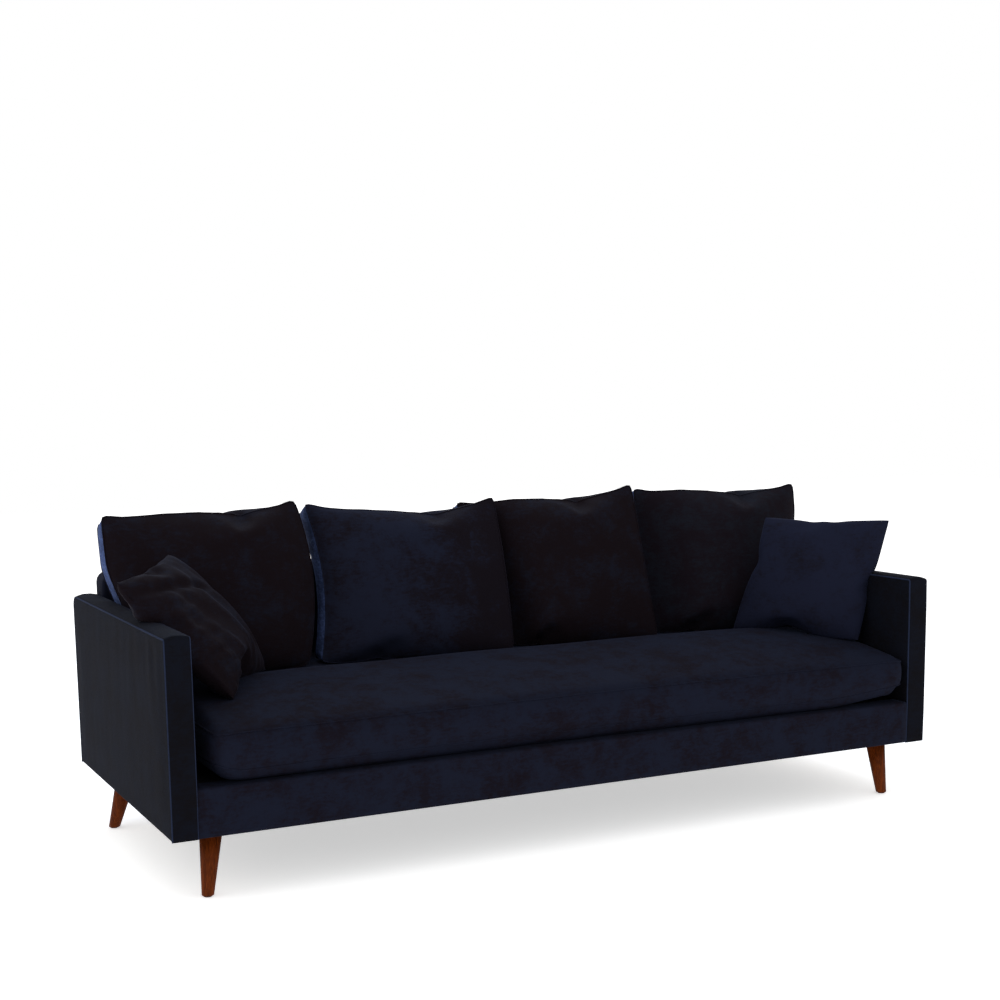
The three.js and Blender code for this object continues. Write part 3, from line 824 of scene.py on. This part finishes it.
# %% [markdown]
# The arms, the front rail and the fixed back are upholstered tight over timber, so they keep flat faces
# with small round edges. Each is a box with its edges bevelled by their own radii. It is then sliced into
# a fine net, so the padding can swell a few millimetres between the seams and the velvet can pucker.

# %% Tight upholstery


def padded_box(name, low, high, rounds, net, swell):
    """A box from low to high. rounds is a list of (test, radius) for its edges, net the size of its cells."""
    box = bmesh.new()
    bmesh.ops.create_cube(box, size=1.0)
    size = Vector(high) - Vector(low)
    middle = (Vector(high) + Vector(low)) / 2
    for vert in box.verts:
        vert.co = Vector((vert.co.x * size.x, vert.co.y * size.y, vert.co.z * size.z)) + middle
    for test, radius in rounds:
        chosen = [edge for edge in box.edges if test(edge)]
        bmesh.ops.bevel(box, geom=chosen, offset=radius, segments=4, profile=0.5, affect="EDGES", material=-1)
    for axis in range(3):
        cuts = int(size[axis] / net)
        for step in range(1, cuts):
            at = Vector(middle)
            at[axis] = low[axis] + size[axis] * step / cuts
            direction = Vector((0, 0, 0))
            direction[axis] = 1.0
            geometry = box.verts[:] + box.edges[:] + box.faces[:]
            bmesh.ops.bisect_plane(box, geom=geometry, dist=1e-6, plane_co=at, plane_no=direction)
    for vert in box.verts:
        vert.co = swell(vert.co.copy(), Vector(low), Vector(high))
    bmesh.ops.recalc_face_normals(box, faces=box.faces)
    mesh = bpy.data.meshes.new(name)
    box.to_mesh(mesh)
    box.free()
    mesh.polygons.foreach_set("use_smooth", [True] * len(mesh.polygons))
    piece = bpy.data.objects.new(name, mesh)
    scene.collection.objects.link(piece)
    mesh.materials.append(velvet)
    return piece


def edge_along(edge, axis):
    """True if an edge runs along an axis."""
    way = edge.verts[1].co - edge.verts[0].co
    return abs(way[axis]) > 0.9 * way.length


def edge_middle(edge):
    """The point halfway along an edge."""
    return (edge.verts[0].co + edge.verts[1].co) / 2


def fullness(value, low, high, rim):
    """0 at the ends of a span, 1 from a rim's width inside it."""
    return smooth_step(value, low, low + rim) * smooth_step(-value, -high, -high + rim)


# %% [markdown]
# An arm is a slim board with velvet pulled over thin padding. Its faces swell by a few millimetres, its top
# crowns a little, and small puckers run down from the top near the front. Welts follow the edges of both
# sides. They are drawn as tubes that pass through the same swelling as the padding, so they stay on it.

# %% Arms
arm_swell = 0.0035
arm_crown = 0.005           # the top is higher along its middle
arm_outer_drop = 0.002      # and lower along its outer edge
arm_rim = 0.10
arm_front_round = 0.008
arm_rear_round = 0.034
pucker_depth = 0.0016


def arm_swelling(side, box_low, box_high):
    """The padding of one arm, as a function that moves a point of its plain box."""

    def swell(point, *_):
        depth_share = fullness(point.y, box_low.y, box_high.y, arm_rim)
        height_share = fullness(point.z, box_low.z, box_high.z, arm_rim)
        outward = (2 * point.x - box_low.x - box_high.x) / (box_high.x - box_low.x)
        outer = smooth_step(outward * side, 0.55, 1.0)
        near_top_front = smooth_step(-point.y, 0.0, 0.45) * smooth_step(point.z, 0.40, 0.62)
        pucker = pucker_depth * noise.noise(Vector((point.y * 26, point.z * 5, 4.0 * side)))
        amount = arm_swell * depth_share * height_share + pucker * (0.35 + near_top_front) * depth_share
        if outward * side > 0 or point.z > 0.3:
            point.x += math.copysign(amount, outward) * min(abs(outward), 1.0)
        round_over = 1 - min(outward * outward, 1.0)
        near_top = smooth_step(point.z, box_high.z - 0.03, box_high.z)
        point.z += (arm_crown * round_over - arm_outer_drop * outer) * near_top
        near_rear = smooth_step(point.y, box_high.y - 0.03, box_high.y)
        point.y += (0.004 * round_over - 0.002 * outer) * near_rear
        point.y -= 0.002 * height_share * smooth_step(-point.y, -box_low.y - 0.01, -box_low.y)
        return point

    return swell


def arm_piece(name, low, high, swell):
    """One upholstered arm."""

    def across(edge, y):
        middle = edge_middle(edge)
        return edge_along(edge, 0) and middle.z > high.z - 0.01 and abs(middle.y - y) < 0.01

    def on_side(edge):
        return min(abs(edge_middle(edge).x - low.x), abs(edge_middle(edge).x - high.x)) < 1e-4

    rounds = [(lambda edge: across(edge, high.y), arm_rear_round),
              (lambda edge: across(edge, low.y), arm_front_round), (on_side, 0.005)]
    piece = padded_box(f"arm_{name}_upholstery", low, high, rounds, 0.018, swell)
    # The arms take the darker copy of the velvet: painted shade.
    piece.data.materials[0] = shaded_arm_velvet
    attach(piece, "frame")
    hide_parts(f"arm_{name}_cover")


def arm_edge_run(low, high, x):
    """Points up the front edge, over the top and down the rear edge of an arm's side."""
    inset = 0.003
    front_step = (high.z - low.z - arm_front_round) / 20
    points = [(x, low.y + inset, low.z + step * front_step) for step in range(21)]
    for centre_y, radius, first in ((low.y + arm_front_round, arm_front_round, math.pi),
                                    (high.y - arm_rear_round, arm_rear_round, math.pi / 2)):
        for step in range(1, 9):
            angle = first - step / 8 * math.pi / 2
            points.append((x, centre_y + (radius - inset) * math.cos(angle),
                           high.z - radius + (radius - inset) * math.sin(angle)))
        if radius == arm_front_round:
            span = high.y - arm_rear_round - centre_y
            points += [(x, centre_y + span * step / 40, high.z - inset) for step in range(1, 40)]
    points.append((x, high.y - inset, low.z))
    return [Vector(point) for point in points]


welt_radius = 0.0024
for arm_name, arm_side in (("left", -1), ("right", 1)):
    low, high = (Vector(corner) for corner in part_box(f"arm_{arm_name}_cover"))
    arm_swell_at = arm_swelling(arm_side, low, high)
    arm_piece(arm_name, low, high, arm_swell_at)
    for edge_name, edge_x in (("low_x", low.x + 0.0015), ("high_x", high.x - 0.0015)):
        run = [arm_swell_at(point) for point in arm_edge_run(low, high, edge_x)]
        # The welts take the lighter copy of the velvet: a painted highlight along the edges.
        welt = tube(f"arm_{arm_name}_{edge_name}_welt", run, welt_radius, False, highlit_welt_velvet)
        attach(welt, "frame")
print("arms upholstered")

# %% [markdown]
# The front rail is a narrow, straight strip of padding under the bench. The fixed back is a low padded
# wall behind the loose cushions, with rounded upper corners. Both are made as the arms are, each with a
# swelling of its own.

# %% Front rail and fixed back


def swell_front(point, low, high):
    """The rail's face swells forward a little between its lower and upper edges."""
    share = fullness(point.z, low.z, high.z, 0.05) * fullness(point.x, low.x, high.x, 0.05)
    pucker = 0.0012 * noise.noise(Vector((point.x * 9, point.z * 14, 2.0)))
    if point.y < low.y + 0.012:
        point.y -= 0.003 * share + pucker * share
    return point


def swell_back(point, low, high):
    """The fixed back is full in front and flat behind."""
    share = fullness(point.z, low.z, high.z, 0.06) * fullness(point.x, low.x, high.x, 0.08)
    if point.y < low.y + 0.012:
        point.y -= 0.0008 * share
    if point.y > high.y - 0.012:
        point.y += (0.003 + 0.001 * noise.noise(Vector((point.x * 8, point.z * 8, 6.0)))) * share
    return point


rail = padded_box("front_rail_upholstery", deck_low, deck_high,
                  [(lambda e: edge_along(e, 0), 0.008)], 0.02, swell_front)
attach(rail, "frame")
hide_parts("front_rail_cover")

fixed_back = padded_box("back_upholstery", back_low, back_high,
                        [(lambda e: edge_along(e, 1) and edge_middle(e).z > back_high[2] - 0.01, 0.030),
                         (lambda e: not edge_along(e, 1) and edge_middle(e).z > back_low[2] + 0.001, 0.009)],
                        0.02, swell_back)
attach(fixed_back, "frame")
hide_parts("back_cover")
print("rail and back upholstered")

# %% [markdown]
# The legs are turned tapers. Each is a cone made on the line from its glide through its hanger bolt, with
# the foot's edge eased, and then cut level under the plate. They could be lathed by spinning a profile,
# but a straight taper is a cone, so the cone is the shorter way.

# %% Legs
leg_top_radius = 0.029
leg_foot_radius = 0.015


def turned_leg(place):
    """One leg, from the top of its glide to the underside of the plate."""
    foot = sum((Vector(corner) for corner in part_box(f"glide_{place}")), Vector()) / 2
    foot.z = 0.0
    bolt = sum((Vector(corner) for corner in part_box(f"hanger_bolt_{place}")), Vector()) / 2
    line = (bolt - foot).normalized()
    leg_low, leg_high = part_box(f"leg_{place}")
    length = leg_high[2] / line.z
    taper = (leg_top_radius - leg_foot_radius) / length
    spare = 0.02
    leg = bmesh.new()
    bmesh.ops.create_cone(leg, cap_ends=True, segments=64, depth=length + 2 * spare,
                          radius1=leg_foot_radius - taper * spare, radius2=leg_top_radius + taper * spare)
    stand = Vector((0, 0, 1)).rotation_difference(line).to_matrix().to_4x4()
    bmesh.ops.transform(leg, matrix=Matrix.Translation(foot + line * length / 2) @ stand, verts=leg.verts)
    for height, way in ((leg_low[2], -1.0), (leg_high[2], 1.0)):
        geometry = leg.verts[:] + leg.edges[:] + leg.faces[:]
        bmesh.ops.bisect_plane(leg, geom=geometry, dist=1e-6, plane_co=(0, 0, height), plane_no=(0, 0, way),
                               clear_outer=True)
        rim = [edge for edge in leg.edges if edge.is_boundary]
        bmesh.ops.holes_fill(leg, edges=rim)
    rim = [edge for edge in leg.edges
           if max(abs(v.co.z - leg_low[2]) for v in edge.verts) < 1e-5]
    bmesh.ops.bevel(leg, geom=rim, offset=0.0015, segments=3, profile=0.5, affect="EDGES", material=-1)
    bmesh.ops.recalc_face_normals(leg, faces=leg.faces)
    mesh = bpy.data.meshes.new(f"turned_leg_{place}")
    leg.to_mesh(mesh)
    leg.free()
    for face in mesh.polygons:
        face.use_smooth = abs(face.normal.z) < 0.9
    mesh.materials.append(walnut)
    piece = bpy.data.objects.new(mesh.name, mesh)
    scene.collection.objects.link(piece)
    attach(piece, "frame")
    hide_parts(f"leg_{place}")


leg_places = ("front_left", "front_right", "rear_left", "rear_right")
for leg_place in leg_places:
    turned_leg(leg_place)
print("legs turned")
